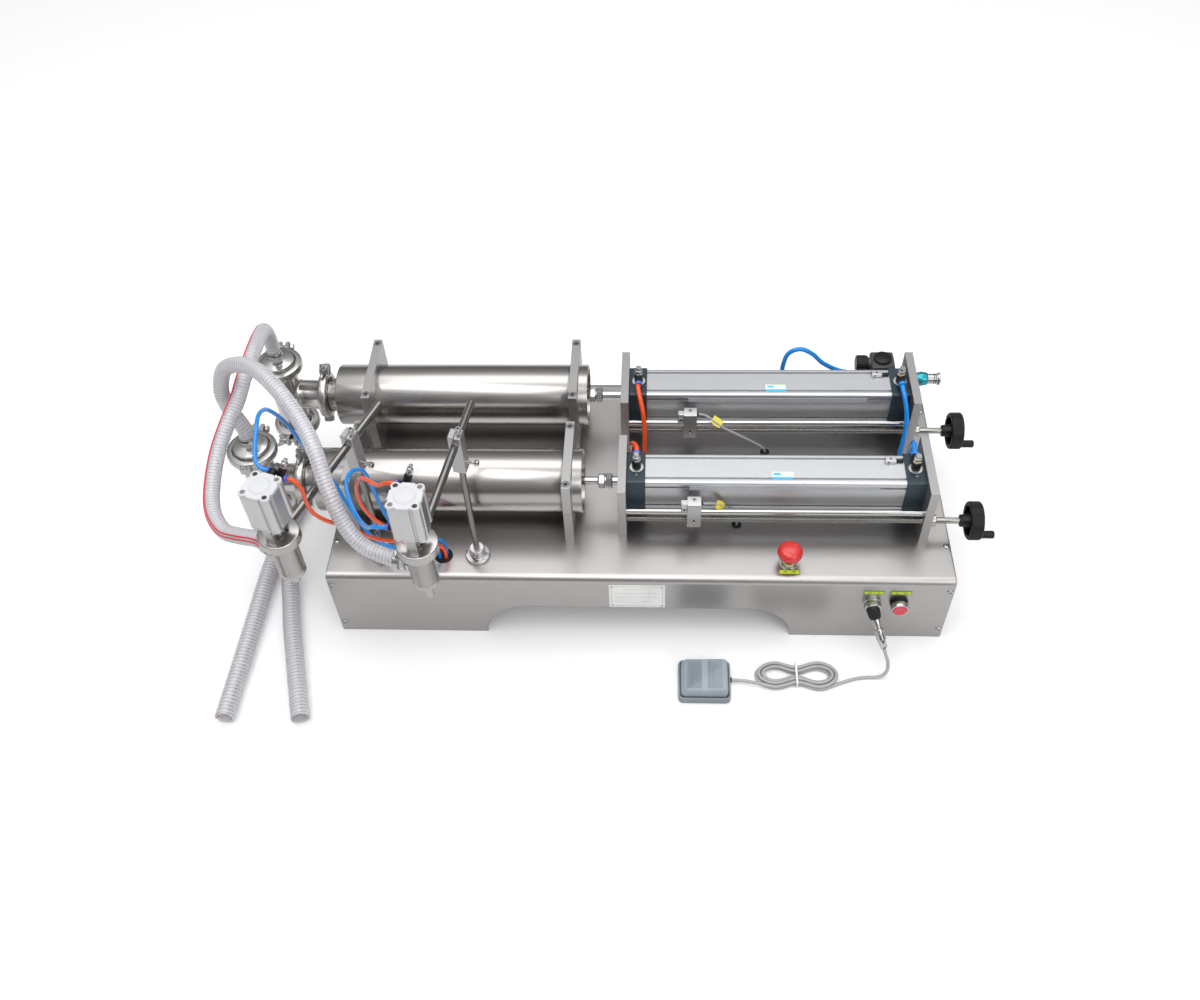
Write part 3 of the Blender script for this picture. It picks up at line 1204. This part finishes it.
def push_in(part, m, start, tip):
    """A push-in socket with its collar."""
    part.rod(9.2, start, tip - 3, "black", m, 28, 1)
    part.rod(10, tip - 3.4, tip, "collar_blue", m, 28, 0.6)


def throttle(part, m):
    """A throttle screw that leans out of an elbow."""
    part.lathe([(0, 2), (5.4, 2), (5.6, 4), (5.6, 13), (4.8, 15), (0, 15)], "black", m, 28)
    part.hexagon(7.6, 14.8, 18, "screw_steel", m)
    head = [(0, 17.8), (4.1, 18), (4.5, 18.6), (4.5, 24), (4, 24.6), (2.8, 24.8), (2.8, 28.6), (2.3, 29.2),
            (0, 29.2)]
    part.lathe(head, "screw_steel", m, 28)


def nozzle_cylinder(side, m):
    part = Part(side + "_actuator", side + "_arm", side + "_nozzle_cylinder")
    outline = side_profile()
    low, high = box(side + "_nozzle_cylinder")[2]
    part.prism(outline, low, low + 3, "satin", m, 0.5)
    part.prism([(0.985 * x, 0.985 * y) for x, y in outline], low + 3, high - 5, "profile", m)
    part.prism(outline, high - 5, high, "head_white", m, 0.7)
    cylinder_top(part, m @ move(z=high))
    corner_y, upper, lower = 32.5, high - 8, high - 16
    x, tip = (8, 18) if side == "left" else (-8, -22)
    if side == "left":
        elbow(part, m @ move(0, corner_y, upper), 0, -9)
    elbow(part, m @ move(x, corner_y, lower), x, tip)
    throttle(part, m @ move(x, corner_y, lower) @ turn("X", -26) @ turn("Y", 16))
    if side == "right":
        push_in(part, m @ move(0, -6, low + 8) @ turn("Y", -90), 21.6, 33.6)
    part.end()


def nozzle_body(side, place):
    """The valve body under the cylinder, with its disc, tip, barb and yoke."""
    swing, barb_turn, tip = NOZZLES[side]
    mouth, rail = 341 - tip, 18
    part = Part(side + "_valve", side + "_arm", side + "_nozzle_body")
    body = [(5.06, 428), (27.6, 428), (28.4, 427.7), (29, 427), (29, 413.4), (28.4, 412.4), (27, 412),
            (19.4, 412), (19, 411.4), (19, 350.6), (18.6, 350), (18.6, 349), (19, 348.4), (19, 342.6),
            (17.6, 341), (6, 341), (6, mouth + 0.6), (5.4, mouth), (4, mouth), (4, 353), (13, 349.2),
            (13, 411), (5.06, 411)]
    part.lathe(body, "disc", place, 72, True)
    barb = place @ move(z=373) @ turn("Z", barb_turn) @ turn("Y", 90)
    outline = [(6.8, 15), (10.1, 17), (10.1, 22.4),
               (9.6, 23.2)] + barb_line(16.9, 23.6, 44, 4) + [(6.8, 44.6)]
    part.lathe(outline, "polished", barb, 44, True)
    band(part, 24, barb @ move(z=32.2) @ turn("Z", 180))
    yoke = place @ turn("Z", swing)
    for s in (-1, 1):
        part.box((-6, 6), (s * rail - 2, s * rail + 2), (427, 456), "plate", yoke)
        part.lathe([(2.4, 0.05), (0, 0.05)], "bore", yoke @ move(s * 10, 7, 428), 20)
        part.box((-4.5, 4.5), (s * rail - 5, s * rail + 5), (427.5, 429.4), "plate", yoke, 0.5)
        part.dome(4.4, 1.3, yoke @ move(0, s * 14.6, 429.3))
    part.end()


def nozzle_stem(side, m):
    part = Part(side + "_needle", side + "_stem", side + "_nozzle_stem")
    part.rod(9.9, 357, 490, "polished", m, 36)
    part.lathe([(0, 353), (4, 353), (9, 361), (0, 361)], "polished", m, 36)
    collar = [(4.9, 435), (7.2, 435), (7.5, 435.5), (7.5, 441.5), (7.2, 442), (4.9, 442)]
    part.lathe(collar, "screw_steel", m, 36, True)
    part.end()


def nozzle_heads():
    for side in NOZZLES:
        place = nozzle_place(side)
        nozzle_cylinder(side, place @ turn("Z", NOZZLES[side][0]))
        nozzle_body(side, place)
        nozzle_stem(side, place)


def cap_fitting(part, m, way, tone, collar):
    """An elbow with its throttle screw on an end cap. Its arm looks along Y times way."""
    part.lathe([(0, 0.1), (11, 0.1), (11.2, 0.3), (9.4, 0.5), (7.4, 0.6)], "satin", m)
    body = [(0, -9), (4.4, -9), (4.4, 0.3), (7, 0.5), (7.2, 1.4), (7.2, 13), (6.4, 15.4), (5.4, 16.2),
            (0, 16.2)]
    part.lathe(body, "black", m)
    part.hexagon(12.6, 15.6, 20, tone, m @ turn("Z", 12), 0.7)
    knob = [(0, 19.6), (5.6, 19.8), (6.1, 20.4), (6.1, 25.2), (5.6, 25.8), (4.8, 26), (4.8, 30.4),
            (4.2, 31.3), (0, 31.4)]
    part.lathe(knob, "screw_steel", m, 32)
    part.ribs(16, (5.9, 6.4), (-0.5, 0.5), (20.8, 24.8), "screw_steel", m, 0.15)
    arm = m @ move(z=11) @ turn("X", -way * 90)
    part.rod(12, 2, 18, "black", arm, 36, 1.2)
    part.lathe([(4.2, 17), (6, 17), (6.4, 18), (6.4, 20), (5.6, 22), (4.2, 22)], collar, arm, 36, True)
    if way > 0:
        part.cap_screw(4.6, 1.4, "brass", m @ move(y=-17))


def magnetic_switch(part, m):
    """A small switch with its cable's end, on top of an air cylinder."""
    part.box((-8.6, 9), (-5, 5), (0.1, 7.2), "satin", m, 0.9)
    part.lathe([(0, 0.1), (1.8, 0.1), (1.9, 0)], "black", m @ move(z=7.2), 16)
    part.lathe([(0, 0.1), (1.6, 0.1), (1.7, 0)], "black", m @ move(-3, -5, 3.5) @ turn("X", 90), 16)
    part.box((9, 20.3), (-2.7, 2.3), (0.1, 4), "black", m, 0.9)


def fittings():
    part = Part("cap_fittings", "machine", "air_fittings")
    (tube_left, tube_right), _, (_, tube_top) = box("air_tubes")
    ends = (tube_left - 14, "screw_steel", "collar_blue"), (tube_right + 16, "brass", "tube_blue")
    for x, tone, collar in ends:
        for line, way in (("rear", -1), ("front", 1)):
            cap_fitting(part, move(x, AXIS_Y[line], tube_top + 2), way, tone, collar)
    for y in AXES:
        magnetic_switch(part, move(tube_right - 21.3, y + 15.7, tube_top))
    part.end()


def supply():
    """The filter-regulator with its bowl, the slide valve on its right and the knob on its left."""
    (_, right), _, (_, top) = box("air_supply")
    _, y, knob_z = middle("regulator_knob")
    x, z, slide_z = right - 106, top - 20, middle("slide_sleeve")[2]
    slide, unit = along_x(x, y, slide_z), move(x, y, z)
    part = Part("filter_unit", "machine", "air_supply")
    part.box((x - 20, x + 20), (y - 20, y + 20), (z - 20, z + 20), "dark", c=2.5)
    part.lathe([(0, 19.5), (14, 19.5), (15, 20), (15, 24), (13.6, 25), (0, 25.2)], "black", unit)
    bowl = [(0, -65), (12, -65), (15.4, -63), (16.6, -58), (17, -50), (17, -21), (16, -19), (0, -19)]
    part.lathe(bowl, "bowl", unit, 48)
    part.ribs(8, (16.2, 17.6), (-1.2, 1.2), (-60, -22), "dark", unit, 0.4)
    part.rod(20, -25.2, -19, "dark", along_x(x, y, knob_z), 36, 0.8)
    part.lathe([(4.2, -26), (8, -26), (8, -21), (9.6, -20.6),
                (9.6, -19.5)], "black", along_x(x, y, 202), 32)
    part.rod(12.6, 0, 59, "screw_steel", slide, c=1)
    part.rod(25, 54, 59, "teal_metal", slide, 40, 1)
    valve = [(3.6, 58), (9, 58), (9, 101), (10.6, 101.6), (11.2, 102.6), (11.2, 105.2), (10.4, 106),
             (3.6, 106)]
    part.lathe(valve, "screw_steel", slide, 44, True)
    for groove in (94.4, 97.4):
        profile = [(8.95, groove), (9.1, groove + 0.3), (9.1, groove + 1.3), (8.95, groove + 1.6)]
        part.lathe(profile, "bore", slide)
    part.end()
    part = Part("knob_grip", "knob", "regulator_knob")
    m = along_x(box("regulator_knob")[0][0], y, knob_z)
    part.lathe([(0, 0), (12.6, 0), (14, 1.4), (14, 17.2), (13, 19.8), (0, 20)], "black", m, 48)
    part.ribs(20, (13.4, 14.4), (-0.9, 0.9), (2.6, 16.2), "black", m, 0.4)
    part.end()
    part = Part("sleeve_grip", "sleeve", "slide_sleeve")
    sleeve = [(9.06, 0), (10.6, 0), (11.2, 1), (11.4, 4), (12.5, 8.4), (12.5, 11.6), (11.4, 16),
              (11.2, 19), (10.6, 20), (9.06, 20)]
    part.lathe(sleeve, "teal_metal", along_x(box("slide_sleeve")[0][0], y, slide_z), 48, True)
    part.end()


def rounded(wide, deep, r, x=0.0):
    """A rectangle's outline with rounded corners, its middle moved by x."""
    steps, outline = 6, []
    for sx, sy, start in ((1, -1, -90), (1, 1, 0), (-1, 1, 90), (-1, -1, 180)):
        for a, b in (circle(start + 90 * k / steps, r) for k in range(steps + 1)):
            outline.append((x + sx * (wide / 2 - r) + a, sy * (deep / 2 - r) + b))
    return outline


def switch_tray(m):
    """The foot switch's base with its raised edge."""
    part = Part("switch_tray", "machine", "switch_base")
    wide, deep = 84, 72
    outer, inner = rounded(wide, deep, 8), rounded(wide - 6, deep - 6, 5)
    part.prism(outer, 0, 6, "switch_base", m, 0.8)
    edge = [(outer, 5.6), (outer, 13.2), (rounded(82.6, 70.6, 7.4), 14), (rounded(79.4, 67.4, 5.6), 14),
            (inner, 13.2), (inner, 5.6)]
    part.loft([level(outline, z) for outline, z in edge], "switch_base", m, caps=False)
    part.box((-32, -29), (-36.5, -35), (6, 10), "brass", m, 0.5)
    part.box((41, 44.6), (0.5, 8), (3, 10), "black_rubber", m, 1)
    part.end()


def switch_tread(m):
    """The pedal: a rounded cushion that falls to its left end, with cross ribs in two groups."""
    part = Part("switch_tread", "pedal", "switch_pedal")

    def fall(x):
        return 0.42 * max(0.0, -24 - x)

    # Width, depth, corner radius, height and shift of each ring
    steps = ((75.6, 63.6, 7, 13.2, 0), (75.6, 63.6, 7, 21, 0), (75, 63, 7, 24.5, 0.2),
             (72.4, 60.4, 7, 28, 0.6), (69, 57, 6.4, 29.6, 1.2), (66, 54, 6, 30, 1.6))
    rings = []
    for wide, deep, r, z, shift in steps:
        falls = z > 20
        rings.append([(x, y, z - falls * fall(x)) for x, y in rounded(wide, deep, r, shift)])
    part.loft(rings, "switch_top", m)
    ribs, gap, pitch = 26, range(12, 16), 2.35
    for k in (k for k in range(ribs) if k not in gap):
        x = k * pitch - 31
        z = 30 - fall(x)
        part.box((x - 0.6, x + 0.6), (-25.5, 25.5), (z - 0.9, z + 0.45), "switch_top", m, 0.35)
    for s in (-1, 1):
        y = s * 30.3
        part.box((28, 34), (y - 1.5, y + 1.5), (5, 15), "switch_top", m)
        part.rod(3.9, -1, 5, "screw_steel", m @ move(31, y, 8) @ turn("X", -s * 90))
    part.end()


def foot_switch():
    x, y, _ = middle("switch_base")
    switch_tray(move(x, y))
    switch_tread(move(x, y))


# Nodes that stay as they come, with a new material
PAINT = {
    "base_cover": "sheet", "end_panels": "sheet_end", "solenoid_valves": "grey", "barrel_clamps": "plate",
    "cylinder_plates": "plate", "air_tubes": "anodised", "end_caps": "teal_cap", "inlet_balls": "white",
    "outlet_balls": "white", "rear_air_piston": "rod", "front_air_piston": "rod", "cord_tie": "white"}


def paint():
    for node, mat in PAINT.items():
        slots = frame["nodes"][node].data.materials
        if not slots:
            slots.append(None)
        for i in range(len(slots)):
            slots[i] = MATS[mat]


def main():
    camera()
    stage()
    make_materials()
    soft_lines()
    paint()
    screws()
    labels()
    emergency_stop()
    push_button()
    socket_and_plug()
    grommets()
    barrels()
    product_pistons()
    guide_bars()
    screws_and_wheels()
    carriages()
    tees()
    barbs()
    stands()
    for side in POSTS:
        clamp_block(side)
    nozzle_heads()
    fittings()
    supply()
    foot_switch()
    foot_cord()


main()
